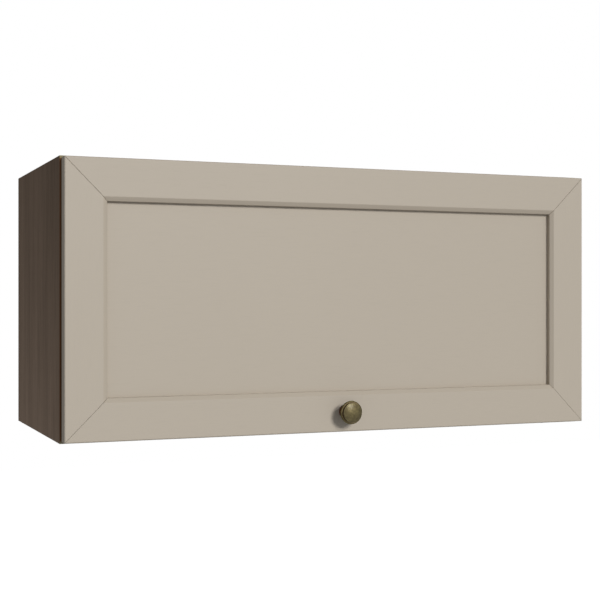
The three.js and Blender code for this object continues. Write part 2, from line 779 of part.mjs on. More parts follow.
function addStrut(side) {
  const x = side.sign * strut_x;
  const inboard = new THREE.Vector3(-side.sign, 0, 0);
  const outboard = new THREE.Vector3(side.sign, 0, 0);

  // Everything on the strut's own line is built downwards from the upper ball.
  const line = new THREE.Group();
  line.position.set(x, door_ball.x, door_ball.y);
  line.rotation.x = strut_tilt;
  group.add(line);

  const downwards = new THREE.Vector3(0, 0, -1);
  const thread_start = socket_length - rod_thread_length;
  const bore = tube_radius - tube_wall;
  const gland_bore = rod_radius + running_gap;
  const tube_start = socket_length + seat_gap;
  const tube = turned(downwards, [
    [0, thread_start],
    [rod_radius, thread_start],
    [rod_radius, tube_start],
    [tube_radius - tube_chamfer, tube_start],
    [tube_radius, tube_start + tube_chamfer],
    [tube_radius, tube_end - tube_chamfer],
    [tube_radius - tube_chamfer, tube_end],
    [gland_bore, tube_end],
    [gland_bore, tube_end - gland_length],
    [bore, tube_end - gland_length],
    [bore, tube_start + tube_head],
    [0, tube_start + tube_head],
  ], 20);
  add(`strut_tube_${side.name}`, tube, grey_painted_steel(), line);

  const piston_start = socket_length + piston_from_end;
  const rod = turned(downwards, [
    [0, piston_start],
    [bore - running_gap, piston_start],
    [bore - running_gap, piston_start + piston_length],
    [rod_radius, piston_start + piston_length],
    [rod_radius, strut_length - thread_start],
    [0, strut_length - thread_start],
  ], 16);
  add(`strut_rod_${side.name}`, rod, polished_steel(), line);

  const upper_socket = ballSocket(-side.sign, 1);
  add(`strut_socket_upper_${side.name}`, upper_socket, grey_plastic(), line);
  const lower_socket = ballSocket(side.sign, -1).translate(0, 0, -strut_length);
  add(`strut_socket_lower_${side.name}`, lower_socket, grey_plastic(), line);

  // Bracket on the stile's rear face, with a lug beside the upper ball.
  const lug_near = x - side.sign * lug_from_ball;
  const lug_far = lug_near - side.sign * lug_thickness;
  const base_face = door_rear + bracket_thickness;
  const base_x = lug_near - (side.sign * bracket_width) / 2;
  const base = plate("y", bracket_width, bracket_height, bracket_corner, door_rear, base_face, [
    base_x, door_ball.y,
  ]);
  const foot = block([lug_near, door_rear, door_ball.y - lug_radius], [
    lug_far, door_ball.x, door_ball.y + lug_radius,
  ]);
  const crown = bar("x", lug_radius, lug_near, lug_far, [door_ball.x, door_ball.y], 20);
  const hole_start = lug_near + side.sign * run_past;
  const hole_end = lug_far - side.sign * run_past;
  const rivet_hole = bar("x", ball_neck_radius + seat_gap, hole_start, hole_end, [
    door_ball.x, door_ball.y,
  ], 16);
  const bracket = cut(join(base, foot, crown), rivet_hole);
  add(`strut_bracket_${side.name}`, bracket, nickelled_steel());

  // The lug is held between the rivet head and a collar, seen from the ball.
  const collar_rear = lug_from_ball - seat_gap;
  const collar_front = collar_rear - stud_collar_thickness;
  const rivet_front = lug_from_ball + lug_thickness + seat_gap;
  const upper_stud = ballStud(outboard, [
    [0, -(rivet_front + rivet_head_height)],
    [rivet_crown_radius, -(rivet_front + rivet_head_height)],
    [stud_collar_radius, -rivet_front],
    [ball_neck_radius, -rivet_front],
    [ball_neck_radius, -collar_rear],
    [stud_collar_radius, -collar_rear],
    [stud_collar_radius, -collar_front],
    [ball_neck_radius, -collar_front],
  ]).translate(x, door_ball.x, door_ball.y);
  add(`ball_stud_upper_${side.name}`, upper_stud, nickelled_steel());

  // Plate on the side panel, and the lower stud whose flange lies against it.
  const side_face = side.sign * inner_half_width;
  const plate_face = side_face - side.sign * strut_plate_thickness;
  const carcass_plate = plate("x", strut_plate_width, strut_plate_height, strut_plate_corner,
    side_face, plate_face, [carcass_ball.x, carcass_ball.y]);
  add(`strut_plate_${side.name}`, carcass_plate, nickelled_steel());

  const lower_stud = ballStud(inboard, [
    [0, -stud_length],
    [stud_flange_radius, -stud_length],
    [stud_flange_radius, -(stud_length - stud_flange_thickness)],
    [ball_neck_radius, -(stud_length - stud_flange_thickness)],
  ]).translate(x, carcass_ball.x, carcass_ball.y);
  add(`ball_stud_lower_${side.name}`, lower_stud, nickelled_steel());
}

// ---------------------------------------------------------------- assembly

addBoards();
addDowels();
addBackPanel();
addHangers();
addFlapFrame();
addDoorPanel();
addKnob();
addBumpers();
sides.forEach(addHinge);
sides.forEach(addStrut);

export default group;
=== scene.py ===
"""Lift up wall cabinet: finishes, hardware detail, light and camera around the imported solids."""
import math

import bmesh
import bpy
from mathutils import Matrix, Vector


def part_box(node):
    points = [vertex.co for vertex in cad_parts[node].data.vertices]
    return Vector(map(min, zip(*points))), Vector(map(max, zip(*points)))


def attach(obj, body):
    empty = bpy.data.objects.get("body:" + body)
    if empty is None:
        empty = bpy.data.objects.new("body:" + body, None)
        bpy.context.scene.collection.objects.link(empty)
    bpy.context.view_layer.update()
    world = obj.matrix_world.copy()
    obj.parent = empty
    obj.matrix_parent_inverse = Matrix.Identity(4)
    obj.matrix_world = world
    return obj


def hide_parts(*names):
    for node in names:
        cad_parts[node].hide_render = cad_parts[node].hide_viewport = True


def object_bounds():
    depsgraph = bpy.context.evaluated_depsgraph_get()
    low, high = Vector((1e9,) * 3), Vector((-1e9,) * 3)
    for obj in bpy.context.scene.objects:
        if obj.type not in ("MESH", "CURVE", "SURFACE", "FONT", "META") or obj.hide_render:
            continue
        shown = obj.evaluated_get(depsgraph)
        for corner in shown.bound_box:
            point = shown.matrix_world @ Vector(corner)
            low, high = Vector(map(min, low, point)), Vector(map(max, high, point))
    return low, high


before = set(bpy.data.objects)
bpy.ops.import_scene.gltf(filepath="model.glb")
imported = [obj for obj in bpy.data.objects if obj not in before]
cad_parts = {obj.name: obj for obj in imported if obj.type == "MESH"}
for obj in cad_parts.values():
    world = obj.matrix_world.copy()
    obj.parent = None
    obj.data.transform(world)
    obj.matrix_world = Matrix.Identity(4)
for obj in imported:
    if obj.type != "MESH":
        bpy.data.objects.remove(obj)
cad_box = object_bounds()

MM = 0.001
SIDES = {"left": -1, "right": 1}
ENDS = {"l": -1, "r": 1}
FORWARD = (0, -1, 0)
BACKWARD = (0, 1, 0)
DOWN = (0, 0, -1)
WHITE = (1.0, 1.0, 1.0, 1.0)

# ------------------------------------------------------------------ places, read from the frame

DOOR_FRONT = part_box("frame_rail_bottom")[0].y
DOOR_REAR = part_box("frame_rail_bottom")[1].y
CARCASS_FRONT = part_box("edge_band_top")[0].y


def middle(node):
    low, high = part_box(node)
    return (low + high) / 2


def size_mm(node, axis):
    """A node's size along one axis, in millimetres."""
    low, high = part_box(node)
    return (getattr(high, axis) - getattr(low, axis)) / MM


def outer_x(node, side):
    """The x of a node's face that looks away from the cabinet's middle."""
    low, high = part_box(node)
    return low.x if side == "left" else high.x


def inner_x(node, side):
    """The x of a node's face that looks towards the cabinet's middle."""
    low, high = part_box(node)
    return high.x if side == "left" else low.x


# ------------------------------------------------------------------ shader helpers

# The span that holds most of a noise's values, from its hollows to its peaks.
HOLLOW = 0.3
PEAK = 0.7
# How softly the painted light at a band's end starts, as a share of its reach.
LIT_TIP_BLUR = 0.05


def srgb(red, green, blue):
    """A colour given as 0 to 255 display values, as the linear values that a shader takes."""
    def linear(value):
        value /= 255
        return value / 12.92 if value <= 0.04045 else ((value + 0.055) / 1.055) ** 2.4
    return (linear(red), linear(green), linear(blue), 1.0)


def dimmed(colour, share):
    """A linear colour with its channels taken down to a share."""
    return tuple(channel * share for channel in colour[:3]) + (1.0,)


def stretched(grain, squeeze):
    """A texture scale that draws a noise out along the grain."""
    return tuple(1 if axis == grain else squeeze for axis in "xyz")


class Shader:
    """A new node material, with short calls for the nodes that the finishes here share."""

    # Places of a Mix node's sockets for colours, which have the same names as those for numbers.
    MIX_INPUTS = (0, 6, 7)
    MIX_RESULT = 2

    def __init__(self, name):
        self.material = bpy.data.materials.new(name)
        self.material.use_nodes = True
        self.nodes = self.material.node_tree.nodes
        self.links = self.material.node_tree.links
        self.surface = self.nodes["Principled BSDF"]

    def value(self, socket, number):
        self.surface.inputs[socket].default_value = number

    def connect(self, output, target):
        self.links.new(output, target)

    def paint(self, output):
        self.connect(output, self.surface.inputs["Base Color"])

    def place(self, scale=(1, 1, 1), offset=(0, 0, 0)):
        coordinates = self.nodes.new("ShaderNodeTexCoord")
        mapping = self.nodes.new("ShaderNodeMapping")
        mapping.inputs["Scale"].default_value = scale
        mapping.inputs["Location"].default_value = offset
        self.connect(coordinates.outputs["Object"], mapping.inputs["Vector"])
        return mapping.outputs["Vector"]

    def noise(self, vector, scale, detail, roughness=0.5, distortion=0.0):
        texture = self.nodes.new("ShaderNodeTexNoise")
        texture.inputs["Scale"].default_value = scale
        texture.inputs["Detail"].default_value = detail
        texture.inputs["Roughness"].default_value = roughness
        texture.inputs["Distortion"].default_value = distortion
        self.connect(vector, texture.inputs["Vector"])
        return texture.outputs["Fac"]

    def cells(self, scale):
        """A random number from 0 to 1 for each small cell of the surface."""
        texture = self.nodes.new("ShaderNodeTexVoronoi")
        texture.inputs["Scale"].default_value = scale
        self.connect(self.place(), texture.inputs["Vector"])
        split = self.nodes.new("ShaderNodeSeparateColor")
        self.connect(texture.outputs["Color"], split.inputs["Color"])
        return split.outputs["Red"]

    def ramp(self, factor, *stops):
        ramp = self.nodes.new("ShaderNodeValToRGB")
        elements = ramp.color_ramp.elements
        while len(elements) < len(stops):
            elements.new(0.5)
        for element, (position, colour) in zip(elements, stops):
            element.position = position
            element.color = colour
        self.connect(factor, ramp.inputs["Fac"])
        return ramp.outputs["Color"]

    def span(self, factor, low, high, to_low=0, to_high=1):
        """Maps low to to_low and high to to_high, and holds there beyond them."""
        node = self.nodes.new("ShaderNodeMapRange")
        node.inputs["From Min"].default_value = low
        node.inputs["From Max"].default_value = high
        node.inputs["To Min"].default_value = to_low
        node.inputs["To Max"].default_value = to_high
        self.connect(factor, node.inputs["Value"])
        return node.outputs["Result"]

    def roughness(self, factor, hollows, peaks, peak=PEAK):
        """Sets the roughness in a noise's hollows and, from the value peak up, on its peaks."""
        spread = self.span(factor, HOLLOW, peak, hollows, peaks)
        self.connect(spread, self.surface.inputs["Roughness"])

    def mix(self, factor, one, other, blend="MIX"):
        node = self.nodes.new("ShaderNodeMix")
        node.data_type = "RGBA"
        node.blend_type = blend
        for index, given in zip(self.MIX_INPUTS, (factor, one, other)):
            if isinstance(given, (int, float, tuple)):
                node.inputs[index].default_value = given
            else:
                self.connect(given, node.inputs[index])
        return node.outputs[self.MIX_RESULT]

    def darken(self, colour, factor, start, tint, end, amount=1.0):
        """Tints a colour where factor is below start. The tint fades out at end."""
        tints = self.ramp(factor, (start, (*tint, 1.0)), (end, WHITE))
        return self.mix(amount, colour, tints, "MULTIPLY")

    def blotches(self, one, other, scale, detail):
        """Drifts between two colours in soft blotches."""
        clouds = self.noise(self.place(), scale, detail)
        return self.mix(self.span(clouds, HOLLOW, PEAK), one, other)

    def component(self, source, axis):
        """One axis of what the object gives at each point, such as its Normal."""
        coordinates = self.nodes.new("ShaderNodeTexCoord")
        split = self.nodes.new("ShaderNodeSeparateXYZ")
        self.connect(coordinates.outputs[source], split.inputs["Vector"])
        return split.outputs[axis]

    def arithmetic(self, operation, *operands):
        node = self.nodes.new("ShaderNodeMath")
        node.operation = operation
        for index, operand in enumerate(operands):
            self.connect(operand, node.inputs[index])
        return node.outputs["Value"]

    def facing(self, axis):
        """How squarely the surface faces along one axis, 0 to 1, either way round."""
        return self.arithmetic("ABSOLUTE", self.component("Normal", axis))

    def along(self, way):
        """0 at the cabinet's lower rear edge and 1 at its upper front edge, along a way."""
        coordinates = self.nodes.new("ShaderNodeTexCoord")
        product = self.nodes.new("ShaderNodeVectorMath")
        product.operation = "DOT_PRODUCT"
        product.inputs[1].default_value = way
        self.connect(coordinates.outputs["Object"], product.inputs[0])
        low = way.dot(Vector((0, cad_box[1].y, cad_box[0].z)))
        high = way.dot(Vector((0, CARCASS_FRONT, cad_box[1].z)))
        return self.span(product.outputs["Value"], low, high)

    def near_ends(self, reach):
        """1 within reach of the cabinet's top or bottom, 0 between them."""
        height = self.component("Object", "Z")
        blur = reach * LIT_TIP_BLUR
        low, high = cad_box[0].z + reach, cad_box[1].z - reach
        top = self.span(height, high - blur, high + blur)
        bottom = self.span(height, low + blur, low - blur)
        return self.arithmetic("MAXIMUM", top, bottom)

    def bump(self, height, strength, distance):
        node = self.nodes.new("ShaderNodeBump")
        node.inputs["Strength"].default_value = strength
        node.inputs["Distance"].default_value = distance
        self.connect(height, node.inputs["Height"])
        self.connect(node.outputs["Normal"], self.surface.inputs["Normal"])


# ------------------------------------------------------------------ materials

FOIL_TONES = ((181, 170, 154), (180, 169, 153))
FOIL_GLOSS = 0.35
CARCASS_TONES = ((131, 112, 95), (139, 119, 101), (146, 125, 107))
BAND_TONES = ((114, 80, 53), (123, 88, 60), (131, 97, 69))
# The pale tone at the bands' ends is painted light, where light falls on their exposed tips.
LIT_TIP_TONE = (151, 139, 106)
CHIP_TONES = ((140, 112, 80), (166, 137, 101), (188, 160, 122))
BEECH_TONES = ((190, 152, 108), (221, 188, 146))
# How far the painted light at the side bands' tips reaches from the top and bottom.
BAND_LIT_TIP = 3.2 * MM
PORE_SQUEEZE = 30
STREAK_SQUEEZE = 16
STROKE_OFFSET = (5, 2, 7)
SPECK_OFFSET = (3, 1, 2)
FOIL_PORE_TINT = (0.97, 0.97, 0.97)
STROKE_TINT = (0.9, 0.91, 0.92)
PORE_TINT = (0.72, 0.7, 0.68)
FLECK_TINT = (0.72, 0.66, 0.6)
SPECK_TINT = (0.6, 0.57, 0.5)

# Painted light and shade: the side boards run from light at the lower rear to dark at the upper
# front.
PAINTED_SHADE_WAY = Vector((0, -0.41, 1))
SIDE_PAINTED_SHADE = (
    (0, (1.39, 1.40, 1.44, 1)),
    (0.45, (1.06, 1.06, 1.07, 1)),
    (1, (0.79, 0.785, 0.78, 1)),
)


def door_foil(name, grain, gloss):
    """Foil with faint pores along the grain, drifting a little between two tones."""
    shader = Shader(f"{name}_{grain}")
    streaked = shader.place(scale=stretched(grain, PORE_SQUEEZE))
    pores = shader.noise(streaked, scale=42, detail=2, roughness=0.6)
    one, other = (srgb(*tone) for tone in FOIL_TONES)
    base = shader.blotches(one, other, scale=3.5, detail=2)
    shader.paint(shader.darken(base, pores, start=0.30, tint=FOIL_PORE_TINT, end=0.44))
    shader.roughness(pores, hollows=0.54, peaks=0.5, peak=0.6)
    shader.value("Specular IOR Level", gloss)
    shader.bump(pores, strength=0.04, distance=0.1 * MM)
    return shader.material


def laminate(name, grain, tones, face=None, painted_shade=None, lit_tips=0):
    """Dark oak laminate with long streaks and pores, over raw chipboard on the cut edges.

    face is the axis that the laminated faces look along; None gives laminate all round.
    The argument after face lists the tints of painted light and shade, from lower rear to upper
    front.
    The last argument is the reach, in metres, of the paler ends: painted light on the band's tips.
    """
    shader = Shader(name)
    drawn_out = stretched(grain, STREAK_SQUEEZE)
    streaks = shader.noise(
        shader.place(scale=drawn_out), scale=2.2, detail=5, roughness=0.6, distortion=0.3
    )
    strokes = shader.noise(
        shader.place(scale=drawn_out, offset=STROKE_OFFSET), scale=9, detail=3, roughness=0.65
    )
    fine = shader.place(scale=stretched(grain, PORE_SQUEEZE))
    pores = shader.noise(fine, scale=36, detail=2, roughness=0.7)
    dark, mid, light = (srgb(*tone) for tone in tones)
    wood = shader.ramp(streaks, (0.34, dark), (0.52, mid), (0.70, light))
    wood = shader.darken(wood, strokes, start=0.36, tint=STROKE_TINT, end=0.5)
    wood = shader.darken(wood, pores, start=0.34, tint=PORE_TINT, end=0.45, amount=0.6)
    if painted_shade:
        # Painted light and shade: lighter at the lower rear, darker at the upper front.
        tints = shader.ramp(shader.along(PAINTED_SHADE_WAY), *painted_shade)
        wood = shader.mix(1.0, wood, tints, "MULTIPLY")
    if face:
        chips = (srgb(*tone) for tone in CHIP_TONES)
        board = shader.ramp(shader.cells(scale=640), *zip((0.0, 0.5, 1.0), chips))
        on_face = shader.span(shader.facing(face), low=0.45, high=0.55)
        wood = shader.mix(on_face, board, wood)
    # Painted light: a paler tone near the top and bottom, on the band's exposed tips.
    if lit_tips:
        lit_tip = shader.darken(srgb(*LIT_TIP_TONE), pores, start=0.34, tint=PORE_TINT, end=0.45)
        wood = shader.mix(shader.near_ends(lit_tips), wood, lit_tip)
    shader.paint(wood)
    shader.roughness(pores, hollows=0.78, peaks=0.66, peak=0.6)
    shader.value("Specular IOR Level", 0.0)
    shader.bump(pores, strength=0.25, distance=0.3 * MM)
    return shader.material


def beech():
    shader = Shader("beech")
    fibres = shader.noise(shader.place(scale=(4, 30, 30)), scale=40, detail=3)
    flecks = shader.noise(shader.place(scale=(1, 9, 9)), scale=160, detail=1)
    dark, light = (srgb(*tone) for tone in BEECH_TONES)
    wood = shader.ramp(fibres, (HOLLOW, dark), (PEAK, light))
    shader.paint(shader.darken(wood, flecks, start=0.32, tint=FLECK_TINT, end=0.42, amount=0.6))
    shader.roughness(fibres, hollows=0.7, peaks=0.6)
    shader.bump(fibres, strength=0.2, distance=0.2 * MM)
    return shader.material


def brass(name, dark, light, roughness, lacquer=0.0):
    """Antique brass: mottled, duller where it is darker, under a thin clear lacquer."""
    shader = Shader(name)
    mottle = shader.noise(shader.place(), scale=210, detail=5, roughness=0.65)
    spotted = shader.place(offset=SPECK_OFFSET)
    specks = shader.noise(spotted, scale=900, detail=3, roughness=0.7)
    tone = shader.ramp(mottle, (0.34, srgb(*dark)), (0.68, srgb(*light)))
    shader.paint(shader.darken(tone, specks, start=0.34, tint=SPECK_TINT, end=0.5, amount=0.7))
    shader.roughness(mottle, hollows=roughness + 0.1, peaks=roughness - 0.06)
    shader.value("Metallic", 0.9)
    shader.value("Coat Weight", lacquer)
    shader.value("Coat Roughness", 0.30)
    shader.bump(specks, strength=0.12, distance=0.1 * MM)
    return shader.material


def metal(name, colour, roughness, stretch=(1, 1, 1), metallic=1.0, scratch=0.05):
    """Plated or painted metal with a fine directional or grainy unevenness."""
    shader = Shader(name)
    grain = shader.noise(shader.place(scale=stretch), scale=1600, detail=2)
    base = srgb(*colour)
    shader.paint(shader.blotches(dimmed(base, 0.92), base, scale=60, detail=2))
    shader.roughness(grain, hollows=roughness - 0.03, peaks=roughness + 0.04)
    shader.value("Metallic", metallic)
    shader.bump(grain, strength=scratch, distance=0.1 * MM)
    return shader.material


def plastic(name, colour, roughness, clear=0.0):
    """Moulded plastic or rubber with a fine spark-eroded grain."""
    shader = Shader(name)
    grain = shader.noise(shader.place(), scale=1500, detail=2)
    base = srgb(*colour)
    shader.paint(shader.blotches(dimmed(base, 0.9), base, scale=45, detail=1))
    shader.roughness(grain, hollows=roughness - 0.05, peaks=roughness + 0.05)
    shader.value("Transmission Weight", clear)
    shader.bump(grain, strength=0.15, distance=0.05 * MM)
    return shader.material


FOIL = {grain: door_foil("foil_face", grain, FOIL_GLOSS) for grain in ("x", "z")}
FOIL_EDGE = {grain: door_foil("foil_edge", grain, 0.0) for grain in ("x", "z")}
# The side boards carry painted light and shade, lighter low at the rear and darker high at the
# front.
SIDE_BOARD = laminate("side_laminate_painted_shade", "z", CARCASS_TONES, face="X", painted_shade=SIDE_PAINTED_SHADE)
LEVEL_BOARD = laminate("level_laminate", "x", CARCASS_TONES, face="Z")
BACK_BOARD = laminate("back_laminate", "x", CARCASS_TONES, face="Y")
BAND = {
    "x": laminate("band_x", "x", BAND_TONES),
    "z": laminate("band_z_lit_tips", "z", BAND_TONES, lit_tips=BAND_LIT_TIP),
}
BEECH = beech()
BRASS = brass("antique_brass", (67, 58, 34), (97, 88, 57), 0.48, lacquer=0.24)
RING = brass("brass_ring", (60, 54, 32), (86, 79, 48), 0.5)
# Painted light: the groove's tone is lighter than the brass, to lift the ring face shaded by the
# dome.
LIT_GROOVE = brass("brass_groove_painted_light", (104, 88, 64), (122, 106, 80), 0.55)
PATINA = brass("brass_patina", (56, 26, 8), (82, 44, 14), 0.5)
NICKEL = metal("nickelled_steel", (196, 194, 189), 0.28, scratch=0.02)
ZINC = metal("zinc_screw", (184, 186, 190), 0.34, scratch=0.03)
CHROME = metal("rod_chrome", (214, 216, 218), 0.12, stretch=(1, 1, 8), scratch=0.02)
TUBE_PAINT = metal("tube_paint", (158, 160, 162), 0.4, metallic=0.35)
GREY_PLASTIC = plastic("grey_plastic", (136, 137, 139), 0.5)
RUBBER = plastic("clear_rubber", (222, 222, 216), 0.3, clear=0.5)

# ------------------------------------------------------------------ mesh helpers

# Bends between faces, in degrees: of one flat face, of an arc's steps, of a smooth turned
# surface and of a sharp edge.
FLAT_BEND = 0.3
ARC_BEND = 26
SMOOTH_BEND = 32
SHARP_BEND = 36
FACING_OUT = 0.9
WELD_DISTANCE = 0.002 * MM
ON_AXIS = 1e-6


def place_piece(piece, body, slot, *nodes):
    """Hangs a new piece on the body it rides on and hides the solids that it stands in for."""
    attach(piece, body)
    if nodes:
        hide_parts(*nodes)
    return piece


def object_from(bm, name, material):
    mesh = bpy.data.meshes.new(name)
    bm.to_mesh(mesh)
    bm.free()
    mesh.materials.append(material)
    piece = bpy.data.objects.new(name, mesh)
    bpy.context.scene.collection.objects.link(piece)
    return piece


def keep_inside(piece, node):
    """Draws in the few points that an eased corner throws past its solid's box."""
    low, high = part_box(node)
    for vertex in piece.data.vertices:
        for axis in range(3):
            vertex.co[axis] = min(max(vertex.co[axis], low[axis]), high[axis])
    return piece


def bake_modifiers(piece):
    """Turns the piece's modifiers into its mesh."""
    graph = bpy.context.evaluated_depsgraph_get()
    mesh = bpy.data.meshes.new_from_object(piece.evaluated_get(graph))
    piece.modifiers.clear()
    piece.data = mesh
    return piece


def smooth(piece):
    for polygon in piece.data.polygons:
        polygon.use_smooth = True
    return piece


def shade(piece):
    """Shades the piece smooth, apart from its sharp edges."""
    smooth(piece).data.set_sharp_from_angle(angle=math.radians(SMOOTH_BEND))
    return piece


def lead_flat(piece):
    """Shades flat faces flat: at their edges they lead over the eased strips between them."""
    stale = piece.data.attributes.get("custom_normal")
    if stale:
        piece.data.attributes.remove(stale)
    normals = piece.modifiers.new("flat_faces_lead", "WEIGHTED_NORMAL")
    normals.mode = "FACE_AREA"
    normals.weight = 100
    normals.keep_sharp = True
    return bake_modifiers(piece)


def dressed(node, material, width, segments=2, soft_width=None):
    """A welded copy of a solid with its sharp edges eased, to stand for that solid.

    soft_width eases the shallow ridges, such as a bevel's crest. Steps of an arc stay as they
    are. Both widths are in millimetres.
    """
    bm = bmesh.new()
    bm.from_mesh(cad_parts[node].data)
    bmesh.ops.remove_doubles(bm, verts=bm.verts, dist=WELD_DISTANCE)
    flat = math.radians(FLAT_BEND)
    bmesh.ops.dissolve_limit(bm, angle_limit=flat, verts=bm.verts, edges=bm.edges)
    weight = bm.edges.layers.float.new("bevel_weight_edge")
    soft_width = soft_width or width
    widest = max(width, soft_width)
    for edge in bm.edges:
        bend = math.degrees(edge.calc_face_angle(0))
        if bend > SHARP_BEND:
            edge[weight] = width / widest
        elif bend > ARC_BEND:
            edge[weight] = soft_width / widest
    piece = smooth(object_from(bm, f"{node}.dressed", material))
    bevel = piece.modifiers.new("eased_edges", "BEVEL")
    bevel.limit_method = "WEIGHT"
    bevel.width = widest * MM
    bevel.segments = segments
    bevel.use_clamp_overlap = True
    return keep_inside(lead_flat(piece), node)


def split_faces(piece, edge_material):
    """Gives the faces that look sideways, up or down the second material."""
    piece.data.materials.append(edge_material)
    for polygon in piece.data.polygons:
        if abs(polygon.normal.y) < FACING_OUT:
            polygon.material_index = 1
    return piece


def arc(centre, radius, start, end, steps):
    """Points on an arc, angles in degrees, in the outline's own plane."""
    points = []
    for step in range(steps + 1):
        angle = math.radians(start + (end - start) * step / steps)
        across = centre[0] + radius * math.cos(angle)
        points.append((across, centre[1] + radius * math.sin(angle)))
    return points


def turned(name, outline, origin, direction, materials, segments, bands=None):
    """A turned piece: outline points are (radius, distance along direction), in millimetres.

    bands maps the index of an outline stretch to the index of its material.
    """
    bm = bmesh.new()
    turn = Vector((0, 0, 1)).rotation_difference(Vector(direction))
    rings = []
    for radius, distance in outline:
        ring = []
        for step in range(1 if radius < ON_AXIS else segments):
            angle = 2 * math.pi * step / segments
            spot = Vector((radius * math.cos(angle), radius * math.sin(angle), distance)) * MM
            ring.append(bm.verts.new(origin + turn @ spot))
        rings.append(ring)
    for index, (one, other) in enumerate(zip(rings, rings[1:])):
        for step in range(segments):
            following = (step + 1) % segments
            corners = [one[step % len(one)], one[following % len(one)]]
            corners += [other[following % len(other)], other[step % len(other)]]
            unique = list(dict.fromkeys(corners))
            if len(unique) > 2:
                face = bm.faces.new(unique)
                face.material_index = (bands or {}).get(index, 0)
    bmesh.ops.recalc_face_normals(bm, faces=bm.faces)
    piece = object_from(bm, name, materials[0])
    for extra in materials[1:]:
        piece.data.materials.append(extra)
    return shade(piece)


def box_piece(name, low, high, material):
    bm = bmesh.new()
    bmesh.ops.create_cube(bm, size=1)
    size = high - low
    matrix = Matrix.Translation((high + low) / 2) @ Matrix.Diagonal(size.to_4d())
    bmesh.ops.transform(bm, verts=bm.verts, matrix=matrix)
    return object_from(bm, name, material)


def combine(base, tools, operation):
    """Joins the tools to the base, or cuts them from it, and removes them."""
    for tool in tools:
        modifier = base.modifiers.new("combine", "BOOLEAN")
        modifier.operation = operation
        modifier.solver = "EXACT"
        modifier.object = tool
    bake_modifiers(base)
    for tool in tools:
        bpy.data.objects.remove(tool)
    return base


# ------------------------------------------------------------------ boards and flap frame

# Widths of eased edges, in millimetres, here and below.
BOARD_EASE = 0.3
BACK_EASE = 0.2
BAND_EASE = 0.35
FRAME_EASE = 0.6
CREST_EASE = 0.7


def dress_boards():
    """The boards of the box, then the bands on their front edges."""
    levels = ("top", "bottom")
    looks = [(f"{end}_panel", LEVEL_BOARD, BOARD_EASE, "carcass_laminate") for end in levels]
    looks += [("back_panel", BACK_BOARD, BACK_EASE, "back_laminate")]
    looks += [(f"side_panel_{side}", SIDE_BOARD, BOARD_EASE, "carcass_laminate") for side in SIDES]
    looks += [(f"edge_band_{end}", BAND["x"], BAND_EASE, "edge_band") for end in levels]
    looks += [(f"edge_band_side_{side}", BAND["z"], BAND_EASE, "edge_band") for side in SIDES]
    for node, material, width, slot in looks:
        place_piece(dressed(node, material, width), "carcass", slot, node)


def dress_flap():
    looks = {"frame_rail_top": "x", "frame_rail_bottom": "x", "door_panel": "x"}
    looks.update({f"frame_stile_{side}": "z" for side in SIDES})
    for node, grain in looks.items():
        piece = dressed(node, FOIL[grain], FRAME_EASE, segments=1, soft_width=CREST_EASE)
        split_faces(piece, FOIL_EDGE[grain])
        place_piece(piece, "flap", "front_paint", node)


def dress_wood_inside():
    """Dowels and corner splines keep their solids and get their wood."""
    for node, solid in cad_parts.items():
        if node.startswith(("dowel_", "corner_spline_")):
            solid.data.materials.clear()
            solid.data.materials.append(BEECH)


# ------------------------------------------------------------------ knob

KNOB_FINISHES = [BRASS, PATINA, LIT_GROOVE, RING]
KNOB_SEGMENTS = 96
# Radii, and distances from the door's front, in millimetres.
KNOB_BORE_RADIUS = 2.3
KNOB_BORE_DEPTH = 14.0
KNOB_FOOT_RADIUS = 10.0
KNOB_STEM_RADIUS = 7.0
KNOB_FLARE_START = 10.4
KNOB_RING_LOW = 18.2
KNOB_RING_HIGH = 21.0
KNOB_COLLAR_RADIUS = 12.6
KNOB_COLLAR_HEIGHT = 2.6
KNOB_DOME_RADIUS = 13.8
KNOB_RIM_HEIGHT = 0.7
KNOB_RIM_STEP = 0.25
CROWN_STEPS = 14
# How many stretches of the flare's arc the neck's dark patina reaches up.
PATINA_STEPS = 8


